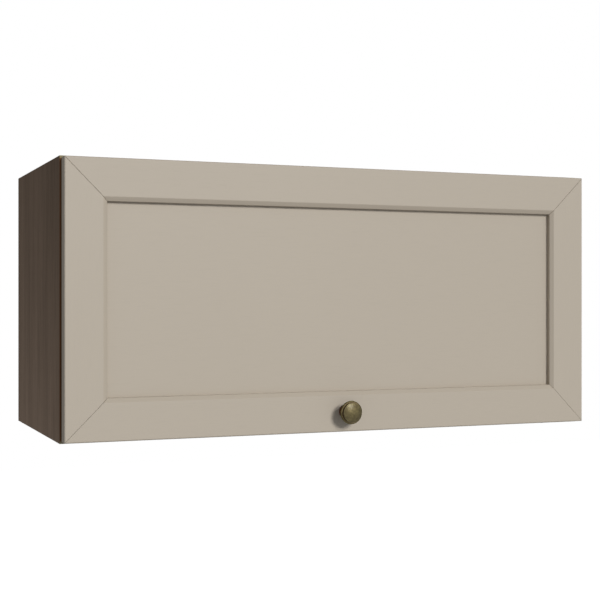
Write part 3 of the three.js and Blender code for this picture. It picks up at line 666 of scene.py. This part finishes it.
def knob_outline(ring_radius, height):
    """The outline from the bore in the foot to the dome, and its stretches by finish."""
    bore, foot_edge, stem = KNOB_BORE_RADIUS, KNOB_FOOT_RADIUS, KNOB_STEM_RADIUS
    foot = [(0, KNOB_BORE_DEPTH), (bore, KNOB_BORE_DEPTH), (bore, 0), (foot_edge - 0.3, 0)]
    foot += [(foot_edge, 0.3), (foot_edge, 1.1), (foot_edge - 0.4, 1.5)]
    neck = arc((11.2, 4.2), 3.1, 240, 185, 6)
    neck += [(stem + 0.2, 7.0), (stem, 7.6), (stem, KNOB_FLARE_START - 0.2)]
    bead = (KNOB_RING_HIGH - KNOB_RING_LOW) / 2
    bead_centre = ring_radius - bead
    flare_reach = KNOB_RING_LOW - KNOB_FLARE_START
    flare = arc((bead_centre, KNOB_FLARE_START), flare_reach, 168, 96, 12)
    ring = arc((bead_centre, KNOB_RING_LOW + bead), bead, -80, 90, 12)
    dome_low = KNOB_RING_HIGH + KNOB_COLLAR_HEIGHT
    dome_rim = dome_low + KNOB_RIM_HEIGHT
    groove = [(KNOB_COLLAR_RADIUS + 0.6, KNOB_RING_HIGH - 0.05)]
    groove += [(KNOB_COLLAR_RADIUS, KNOB_RING_HIGH - 0.4), (KNOB_COLLAR_RADIUS, dome_low)]
    rim = [(KNOB_DOME_RADIUS - 0.5, dome_low)]
    rim += arc((KNOB_DOME_RADIUS - 0.6, dome_rim - 0.1), 0.6, -60, 30, 6)
    rise = height - dome_rim - KNOB_RIM_STEP
    crown_radius = (KNOB_DOME_RADIUS ** 2 + rise ** 2) / (2 * rise)
    dome = []
    for step in range(1, CROWN_STEPS):
        radius = (KNOB_DOME_RADIUS - 0.1) * (1 - step / CROWN_STEPS)
        drop = crown_radius - math.sqrt(crown_radius ** 2 - radius ** 2)
        dome.append((radius, height - drop))
    below_flare = foot + neck
    below_groove = below_flare + flare + ring
    outline = below_groove + groove + rim + dome + [(0, height)]
    ring_start = len(below_flare) + PATINA_STEPS
    groove_start = len(below_groove) - 1
    groove_end = groove_start + len(groove) + 1
    stretches = {
        PATINA: range(ring_start),
        RING: range(ring_start, groove_start),
        # The groove and the ring face beside it take the lighter tone, which is painted light.
        LIT_GROOVE: range(groove_start, groove_end),
    }
    return outline, stretches


def make_knob():
    centre = middle("knob")
    height = (DOOR_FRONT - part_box("knob")[0].y) / MM
    outline, stretches = knob_outline(size_mm("knob", "x") / 2, height)
    bands = {}
    for finish, indices in stretches.items():
        bands.update({index: KNOB_FINISHES.index(finish) for index in indices})
    origin = Vector((centre.x, DOOR_FRONT, centre.z))
    knob = turned(
        "knob.turned", outline, origin, FORWARD, KNOB_FINISHES, KNOB_SEGMENTS, bands
    )
    place_piece(knob, "flap", "antique_brass", "knob")


# ------------------------------------------------------------------ screws

SCREW_SEGMENTS = 28
RECESS_SHARE = 0.5
RECESS_WING = 0.24
FLUSH_DEPTH = 0.5
# Radius and height of the screw heads, in millimetres.
CUP_HEAD = (3.7, 1.3)
PLATE_HEAD = (3.6, 1.4)
ARM_HEAD = (3.2, 1.0)
TILT_HEAD = (3.4, 1.6)
FLUSH_RADIUS = 3.9


def cross_recess(piece, origin, direction, size, depth):
    """Cuts a cross recess into a screw head. origin is the middle of the head's top."""
    turn = Vector((0, 0, 1)).rotation_difference(Vector(direction))
    wing = size * RECESS_WING
    tools = []
    for across, along in ((size, wing), (wing, size)):
        half = Vector((across, along, depth)) * MM
        tool = box_piece("recess", -half, half, ZINC)
        tool.data.transform(Matrix.Translation(origin) @ turn.to_matrix().to_4x4())
        tools.append(tool)
    combine(piece, tools, "DIFFERENCE")
    return shade(piece)


def screw(name, origin, direction, head, body, sunk=0.4):
    """A screw head standing on a face at origin. Its shank reaches sunk millimetres below."""
    radius, height = head
    outline = [(0, -sunk), (radius * 0.55, -sunk), (radius * 0.6, 0), (radius * 0.93, 0)]
    outline += [(radius, height * 0.18), (radius * 0.97, height * 0.5)]
    outline += [(radius * 0.82, height * 0.85), (radius * 0.5, height), (0, height)]
    piece = turned(name, outline, origin, direction, [ZINC], SCREW_SEGMENTS)
    top = origin + Vector(direction) * height * MM
    cross_recess(piece, top, direction, radius * RECESS_SHARE, height * 0.55)
    return place_piece(piece, body, "nickelled_steel")


def flush_screw(name, origin, direction, body):
    """A countersunk screw head, flush with the face at origin."""
    radius, depth = FLUSH_RADIUS, FLUSH_DEPTH
    outline = [(0, -depth), (radius * 0.7, -depth), (radius, -0.05), (radius, 0.06), (0, 0.1)]
    piece = turned(name, outline, origin, direction, [ZINC], SCREW_SEGMENTS)
    cross_recess(piece, origin, direction, radius * RECESS_SHARE, depth * 0.6)
    return place_piece(piece, body, "nickelled_steel")


# ------------------------------------------------------------------ hinges

CUP_EASE = 0.18
HINGE_EASE = 0.25
PIN_RADIUS = 1.1
PIN_SEGMENTS = 24
# From the cup flange's top edge down to its screws, and from the cup's middle out to them.
CUP_SCREW_DROP = 24.2 * MM
CUP_SCREW_SPREAD = 24 * MM
CUP_SCREW_SUNK = 1.0
PLATE_SCREW_SETBACK = 37 * MM
PLATE_SCREW_SPREAD = 17 * MM
PLATE_WING = 1.6 * MM
ARM_SCREW_SETBACKS = {"depth": 42 * MM, "side": 15 * MM}


def dress_hinges():
    for side in SIDES:
        cup = f"hinge_cup_{side}"
        place_piece(dressed(cup, NICKEL, CUP_EASE), "flap", "nickelled_steel", cup)
        for node in (f"hinge_arm_{side}", f"hinge_plate_{side}"):
            piece = dressed(node, NICKEL, HINGE_EASE)
            place_piece(piece, "carcass", "nickelled_steel", node)
        pin = f"hinge_pin_{side}"
        reach = size_mm(pin, "x")
        end_radius = PIN_RADIUS - 0.2
        outline = [(0, 0), (end_radius, 0), (PIN_RADIUS, 0.2), (PIN_RADIUS, reach - 0.2)]
        outline += [(end_radius, reach), (0, reach)]
        origin = Vector((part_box(pin)[0].x, middle(pin).y, middle(pin).z))
        piece = turned(f"{pin}.turned", outline, origin, (1, 0, 0), [NICKEL], PIN_SEGMENTS)
        place_piece(piece, "flap", "nickelled_steel", pin)


def add_hinge_screws():
    for side in SIDES:
        x = middle(f"hinge_cup_{side}").x
        cup_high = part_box(f"hinge_cup_{side}")[1]
        wing_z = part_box(f"hinge_plate_{side}")[1].z - PLATE_WING
        arm_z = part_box(f"hinge_arm_{side}")[0].z
        for tag, end in ENDS.items():
            spot = Vector((x + end * CUP_SCREW_SPREAD, cup_high.y, cup_high.z - CUP_SCREW_DROP))
            name = f"cup_screw_{side}_{tag}"
            screw(name, spot, BACKWARD, CUP_HEAD, "flap", CUP_SCREW_SUNK)
        for tag, end in ENDS.items():
            across = x + end * PLATE_SCREW_SPREAD
            spot = Vector((across, CARCASS_FRONT + PLATE_SCREW_SETBACK, wing_z))
            screw(f"plate_screw_{side}_{tag}", spot, DOWN, PLATE_HEAD, "carcass")
        for tag, setback in ARM_SCREW_SETBACKS.items():
            spot = Vector((x, CARCASS_FRONT + setback, arm_z))
            screw(f"arm_screw_{tag}_{side}", spot, DOWN, ARM_HEAD, "carcass")


# ------------------------------------------------------------------ gas struts

# Radii, and distances along a strut or a stud from its ball's centre, in millimetres.
BALL_RADIUS = 4.0
STUD_RADIUS = 2.2
STUD_SEGMENTS = 40

SOCKET_SEGMENTS = 40
SOCKET_RADIUS = 6.5
SOCKET_HALF = 4.5
SOCKET_ROUND = 0.8
SOCKET_HOLLOW = 4.3
SHANK_RADIUS = 4.6
SHANK_BORE = 3.3
SHANK_END = 18.0
RIB_RADIUS = 5.0
RIB_START = 8.4
RIB_PITCH = 3.1
RIB_COUNT = 3

TUBE_SEGMENTS = 64
TUBE_START = 21
TUBE_RADIUS = 7.5
TUBE_BORE = 6.2
TUBE_BEAD = 14.2
TUBE_STUD_START = 10
GUIDE_LENGTH = 12

ROD_SEGMENTS = 48
ROD_RADIUS = 3.0
PISTON_RADIUS = 5.9
PISTON_START = 24
PISTON_END = 34

STRUT_PLATE_EASE = 0.3
BRACKET_SCREW_INSET = 8 * MM
BRACKET_THICKNESS = 2.5 * MM
BRACKET_SCREW_RISES = {"high": 13 * MM, "low": -13 * MM}
SIDE_SCREW_RISES = {"high": 19 * MM, "low": -19 * MM}


def strut_line(side):
    """The upper and the lower ball's centre, and the direction from one to the other."""
    upper_stud, lower_stud = f"ball_stud_upper_{side}", f"ball_stud_lower_{side}"
    x = outer_x(upper_stud, side) - SIDES[side] * BALL_RADIUS * MM
    upper = Vector((x, middle(upper_stud).y, middle(upper_stud).z))
    lower = Vector((x, middle(lower_stud).y, middle(lower_stud).z))
    return upper, lower, (lower - upper).normalized()


def ball_socket(name, centre, open_sign, line, body, node):
    """A snap-on socket: a hollow head across the strut and a ribbed shank along it."""
    round_at = SOCKET_RADIUS - SOCKET_ROUND
    lip = SOCKET_HALF - SOCKET_ROUND
    head = [(0, -SOCKET_HALF), (5.4, -SOCKET_HALF)]
    head += arc((round_at, -lip), SOCKET_ROUND, -80, 0, 4) + [(SOCKET_RADIUS, lip)]
    head += arc((round_at, lip), SOCKET_ROUND, 20, 90, 4)
    head += [(4.4, SOCKET_HALF), (3.75, SOCKET_HALF - 0.3)]
    head += arc((0, 0), SOCKET_HOLLOW, 55, -60, 12) + [(0, -4.2)]
    shell = turned(name, head, centre, (open_sign, 0, 0), [GREY_PLASTIC], SOCKET_SEGMENTS)
    shank = [(0, 5.2), (SHANK_RADIUS, 5.2), (SHANK_RADIUS, 8.0)]
    for rib in range(RIB_COUNT):
        start = RIB_START + RIB_PITCH * rib
        shank += [(RIB_RADIUS, start), (RIB_RADIUS, start + 2.0), (SHANK_RADIUS, start + 2.4)]
    shank += [(SHANK_RADIUS, SHANK_END - 0.4), (SHANK_RADIUS - 0.3, SHANK_END)]
    shank += [(SHANK_BORE, SHANK_END), (SHANK_BORE, 9.7), (0, 9.7)]
    stem = turned("shank", shank, centre, line, [GREY_PLASTIC], SOCKET_SEGMENTS)
    combine(shell, [stem], "UNION")
    return place_piece(shade(shell), body, "grey_plastic", node)


def tube_outline(end):
    """The tube from its threaded stud, over the rolled bead, to the rod guide, and its bore."""
    bead, guide = end - TUBE_BEAD, end - GUIDE_LENGTH
    outline = [(0, TUBE_STUD_START), (2.7, TUBE_STUD_START), (3.0, TUBE_STUD_START + 0.3)]
    outline += [(3.0, 18.3), (5.8, 18.3)]
    outline += arc((6.0, 19.8), 1.5, -90, 0, 6) + [(TUBE_RADIUS, TUBE_START)]
    outline += [(TUBE_RADIUS, bead - 1.3)] + arc((8.6, bead), 1.6, 222, 138, 6)
    outline += [(TUBE_RADIUS, bead + 1.3), (TUBE_RADIUS, end - 2.0)]
    outline += arc((5.9, end - 1.6), 1.6, 10, 90, 6)
    outline += [(4.6, end), (4.2, end - 0.7), (3.3, end - 0.7), (3.3, guide)]
    outline += [(TUBE_BORE, guide), (TUBE_BORE, TUBE_START + 0.3), (0, TUBE_START + 0.3)]
    return outline


def rod_outline(end):
    """The rod from its piston head to its threaded end."""
    outline = [(0, PISTON_START), (PISTON_RADIUS - 0.3, PISTON_START)]
    outline += [(PISTON_RADIUS, PISTON_START + 0.3), (PISTON_RADIUS, PISTON_END - 0.3)]
    outline += [(PISTON_RADIUS - 0.3, PISTON_END), (ROD_RADIUS, PISTON_END)]
    outline += [(ROD_RADIUS, end - 0.3), (ROD_RADIUS - 0.3, end), (0, end)]
    return outline


def make_strut(side):
    sign = SIDES[side]
    upper, lower, line = strut_line(side)
    length = (lower - upper).length / MM
    outline = tube_outline(length - TUBE_START)
    tube = turned(f"strut_tube_{side}.turned", outline, upper, line, [TUBE_PAINT], TUBE_SEGMENTS)
    place_piece(tube, f"cylinder_{side}", "tube_paint", f"strut_tube_{side}")
    outline = rod_outline(length - TUBE_STUD_START)
    rod = turned(f"strut_rod_{side}.turned", outline, upper, line, [CHROME], ROD_SEGMENTS)
    place_piece(rod, f"piston_{side}", "rod_steel", f"strut_rod_{side}")
    ball_socket(f"strut_socket_upper_{side}.moulded", upper, -sign, line,
                f"cylinder_{side}", f"strut_socket_upper_{side}")
    ball_socket(f"strut_socket_lower_{side}.moulded", lower, sign, -line,
                f"piston_{side}", f"strut_socket_lower_{side}")


def make_ball_studs(side):
    sign = SIDES[side]
    upper, lower, _ = strut_line(side)
    ball = arc((0, 0), BALL_RADIUS, -56.6, 90, 14)
    ball[-1] = (0, BALL_RADIUS)
    stem = STUD_RADIUS
    riveted = [(0, -11.4), (2.6, -11.3), (3.5, -10.9), (3.7, -10.3), (stem, -10.3), (stem, -6.7)]
    riveted += [(3.5, -6.7), (3.7, -6.5), (3.7, -5.7), (3.5, -5.5), (stem, -5.5)]
    node = f"ball_stud_upper_{side}"
    outline = riveted + ball
    piece = turned(f"{node}.turned", outline, upper, (sign, 0, 0), [NICKEL], STUD_SEGMENTS)
    place_piece(piece, "flap", "nickelled_steel", node)
    node = f"ball_stud_lower_{side}"
    foot = BALL_RADIUS - size_mm(node, "x")
    flanged = [(0, foot), (4.8, foot), (5.0, foot + 0.2), (5.0, foot + 1.3)]
    flanged += [(4.8, foot + 1.5), (stem, foot + 1.5)]
    outline = flanged + ball
    piece = turned(f"{node}.turned", outline, lower, (-sign, 0, 0), [NICKEL], STUD_SEGMENTS)
    place_piece(piece, f"piston_{side}", "nickelled_steel", node)


def dress_strut_plates(side):
    sign = SIDES[side]
    bracket, plate = f"strut_bracket_{side}", f"strut_plate_{side}"
    for node, body in ((bracket, "flap"), (plate, "carcass")):
        piece = dressed(node, NICKEL, STRUT_PLATE_EASE)
        place_piece(piece, body, "nickelled_steel", node)
    upper, _, _ = strut_line(side)
    bracket_x = inner_x(bracket, side) + sign * BRACKET_SCREW_INSET
    for tag, rise in BRACKET_SCREW_RISES.items():
        spot = Vector((bracket_x, DOOR_REAR + BRACKET_THICKNESS, upper.z + rise))
        screw(f"bracket_screw_{tag}_{side}", spot, BACKWARD, PLATE_HEAD, "flap")
    centre = middle(plate)
    for tag, rise in SIDE_SCREW_RISES.items():
        spot = Vector((inner_x(plate, side), centre.y, centre.z + rise))
        flush_screw(f"side_screw_{tag}_{side}", spot, (-sign, 0, 0), "carcass")


# ------------------------------------------------------------------ hangers, bumpers, knob screw

TILT_SCREW_RISE = 27 * MM
HOUSING_EASE = 0.8
HOUSING_RIM = 2.0 * MM
HOUSING_SINK = 0.8 * MM
BOSS_RADIUS = 5.2
BOSS_SEGMENTS = 40
# The boss tool reaches past the sunk block at both ends.
BOSS_LOW = -2.4
BOSS_HIGH = 3.6
HOOK_EASE = 0.3
EASE_SEGMENTS = 3
HANGER_SCREW_SEGMENTS = 32
SOFT_SEGMENTS = 40


def make_housing(side):
    """The moulded casing: its front is sunk inside a rim, with a round boss for each screw."""
    node = f"hanger_housing_{side}"
    low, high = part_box(node)
    casing = dressed(node, GREY_PLASTIC, HOUSING_EASE, EASE_SEGMENTS)
    sunk_low = Vector((low.x + HOUSING_RIM, low.y - HOUSING_SINK, low.z + HOUSING_RIM))
    sunk_high = Vector((high.x - HOUSING_RIM, low.y + HOUSING_SINK, high.z - HOUSING_RIM))
    sunk = box_piece("sunk", sunk_low, sunk_high, GREY_PLASTIC)
    screw_place = middle(f"hanger_screw_{side}")
    outline = [(0, BOSS_LOW), (BOSS_RADIUS, BOSS_LOW), (BOSS_RADIUS, BOSS_HIGH), (0, BOSS_HIGH)]
    for rise in (0, TILT_SCREW_RISE):
        origin = Vector((screw_place.x, low.y + HOUSING_SINK + MM, screw_place.z + rise))
        boss = turned("boss", outline, origin, FORWARD, [GREY_PLASTIC], BOSS_SEGMENTS)
        combine(sunk, [boss], "DIFFERENCE")
    combine(casing, [sunk], "DIFFERENCE")
    lead_flat(shade(casing))
    return place_piece(casing, "carcass", "grey_plastic", node)


def turned_back(node, outline, material, segments):
    """A piece turned from a node's foremost point backward, and that point."""
    centre = middle(node)
    origin = Vector((centre.x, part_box(node)[0].y, centre.z))
    return turned(f"{node}.turned", outline, origin, BACKWARD, [material], segments), origin


def dress_hangers(side):
    make_housing(side)
    hook = f"hanger_hook_{side}"
    piece = dressed(hook, NICKEL, HOOK_EASE, EASE_SEGMENTS)
    place_piece(piece, "carcass", "nickelled_steel", hook)
    node = f"hanger_screw_{side}"
    reach = size_mm(node, "y")
    outline = [(0, 0), (2.4, 0), (3.3, 0.35), (3.6, 1.0), (3.6, 1.9), (2.0, 1.9)]
    outline += [(2.0, reach - 0.6), (1.4, reach), (0, reach)]
    piece, origin = turned_back(node, outline, ZINC, HANGER_SCREW_SEGMENTS)
    cross_recess(piece, origin, FORWARD, size=1.9, depth=0.8)
    place_piece(piece, "carcass", "nickelled_steel", node)
    housing_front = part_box(f"hanger_housing_{side}")[0].y
    spot = Vector((origin.x, housing_front, origin.z + TILT_SCREW_RISE))
    screw(f"hanger_tilt_screw_{side}", spot, FORWARD, TILT_HEAD, "carcass")


def make_bumper(side):
    node = f"bumper_{side}"
    reach = size_mm(node, "y")
    outline = [(0, 0), (4.4, 0), (4.5, 0.15), (4.3, reach * 0.5), (3.6, reach * 0.8)]
    outline += [(2.4, reach * 0.95), (0, reach)]
    piece, _ = turned_back(node, outline, RUBBER, SOFT_SEGMENTS)
    place_piece(piece, "flap", "clear_rubber", node)


def make_knob_screw():
    centre = middle("knob_screw")
    reach = size_mm("knob_screw", "y")
    outline = [(0, 0), (2.4, 0.05), (4.0, 0.6), (4.6, 1.5), (4.6, 2.1), (4.5, 2.2), (2.0, 2.2)]
    outline += [(2.0, reach - 0.5), (1.5, reach), (0, reach)]
    origin = Vector((centre.x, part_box("knob_screw")[1].y, centre.z))
    piece = turned("knob_screw.turned", outline, origin, FORWARD, [ZINC], SOFT_SEGMENTS)
    cross_recess(piece, origin, BACKWARD, size=2.3, depth=1.0)
    place_piece(piece, "flap", "nickelled_steel", "knob_screw")


# ------------------------------------------------------------------ stage, light and camera

AMBIENT = 0.27
AMBIENT_TINT = (0.94, 1.0, 1.09, 1.0)
KEY_STRENGTH = 2.2
KEY_DIRECTION = Vector((0.225, -0.9, 0.375))
KEY_ANGLE = 18
REAR_STRENGTH = 1.8
REAR_DIRECTION = Vector((0.6, 1.0, 0.4))
REAR_ANGLE = 25

FLOOR_Z = -2.2
FLOOR_HALF = 14
FLOOR_GREY = (0.5, 0.5, 0.5, 1)
FLOOR_ROUGHNESS = 0.9
FLOOR_GLOW = 0.76

CAMERA_PLACE = (-0.7085, -1.9389, 0.0007)
CAMERA_TURN = 21.99
CAMERA_DIP = 0.04
CAMERA_LENS = 73.5
CAMERA_FILM = 36


def seen_directly(nodes, links):
    """1 where the camera, a reflection or a clear material looks, 0 for light on the object."""
    path = nodes.new("ShaderNodeLightPath")
    total = path.outputs["Is Camera Ray"]
    for name in ("Is Glossy Ray", "Is Transmission Ray"):
        larger = nodes.new("ShaderNodeMath")
        larger.operation = "MAXIMUM"
        links.new(total, larger.inputs[0])
        links.new(path.outputs[name], larger.inputs[1])
        total = larger.outputs["Value"]
    return total


def set_world():
    world = bpy.data.worlds.new("studio")
    bpy.context.scene.world = world
    world.use_nodes = True
    nodes, links = world.node_tree.nodes, world.node_tree.links
    light = nodes["Background"]
    light.inputs["Color"].default_value = AMBIENT_TINT
    light.inputs["Strength"].default_value = AMBIENT
    shown = nodes.new("ShaderNodeBackground")
    shown.inputs["Color"].default_value = WHITE
    shown.inputs["Strength"].default_value = 1.0
    mix = nodes.new("ShaderNodeMixShader")
    links.new(seen_directly(nodes, links), mix.inputs["Fac"])
    links.new(light.outputs["Background"], mix.inputs[1])
    links.new(shown.outputs["Background"], mix.inputs[2])
    links.new(mix.outputs["Shader"], nodes["World Output"].inputs["Surface"])


def make_floor():
    bm = bmesh.new()
    bmesh.ops.create_grid(bm, x_segments=8, y_segments=8, size=FLOOR_HALF)
    bmesh.ops.translate(bm, verts=bm.verts, vec=(0, 0, FLOOR_Z))
    material = bpy.data.materials.new("pale_floor")
    material.use_nodes = True
    nodes, links = material.node_tree.nodes, material.node_tree.links
    surface = nodes["Principled BSDF"]
    surface.inputs["Base Color"].default_value = FLOOR_GREY
    surface.inputs["Roughness"].default_value = FLOOR_ROUGHNESS
    surface.inputs["Specular IOR Level"].default_value = 0.0
    glow = nodes.new("ShaderNodeEmission")
    glow.inputs["Color"].default_value = WHITE
    strength = nodes.new("ShaderNodeMath")
    strength.operation = "MULTIPLY"
    strength.inputs[1].default_value = FLOOR_GLOW
    links.new(seen_directly(nodes, links), strength.inputs[0])
    links.new(strength.outputs["Value"], glow.inputs["Strength"])
    both = nodes.new("ShaderNodeAddShader")
    links.new(surface.outputs["BSDF"], both.inputs[0])
    links.new(glow.outputs["Emission"], both.inputs[1])
    links.new(both.outputs["Shader"], nodes["Material Output"].inputs["Surface"])
    object_from(bm, "floor", material)


def add_sun(name, direction, strength, angle):
    lamp = bpy.data.lights.new(name, "SUN")
    lamp.energy = strength
    lamp.angle = math.radians(angle)
    sun = bpy.data.objects.new(name, lamp)
    sun.rotation_mode = "QUATERNION"
    sun.rotation_quaternion = Vector((0, 0, 1)).rotation_difference(direction.normalized())
    bpy.context.scene.collection.objects.link(sun)


def set_camera():
    """The photograph's view: level, from the left of the middle, on a long lens."""
    camera_data = bpy.data.cameras.new("camera")
    camera_data.sensor_width = CAMERA_FILM
    camera_data.sensor_fit = "HORIZONTAL"
    camera_data.lens = CAMERA_LENS
    camera = bpy.data.objects.new("camera", camera_data)
    camera.location = CAMERA_PLACE
    pitch = math.pi / 2 - math.radians(CAMERA_DIP)
    camera.rotation_euler = (pitch, 0, -math.radians(CAMERA_TURN))
    bpy.context.scene.collection.objects.link(camera)
    bpy.context.scene.camera = camera


# ------------------------------------------------------------------ the scene

dress_boards()
dress_flap()
dress_wood_inside()
make_knob()
make_knob_screw()
dress_hinges()
add_hinge_screws()
for strut_side in SIDES:
    make_strut(strut_side)
    make_ball_studs(strut_side)
    dress_strut_plates(strut_side)
    dress_hangers(strut_side)
    make_bumper(strut_side)

set_world()
make_floor()
add_sun("key", KEY_DIRECTION, KEY_STRENGTH, KEY_ANGLE)
add_sun("rear_fill", REAR_DIRECTION, REAR_STRENGTH, REAR_ANGLE)
set_camera()
bpy.context.scene.view_settings.view_transform = "Standard"
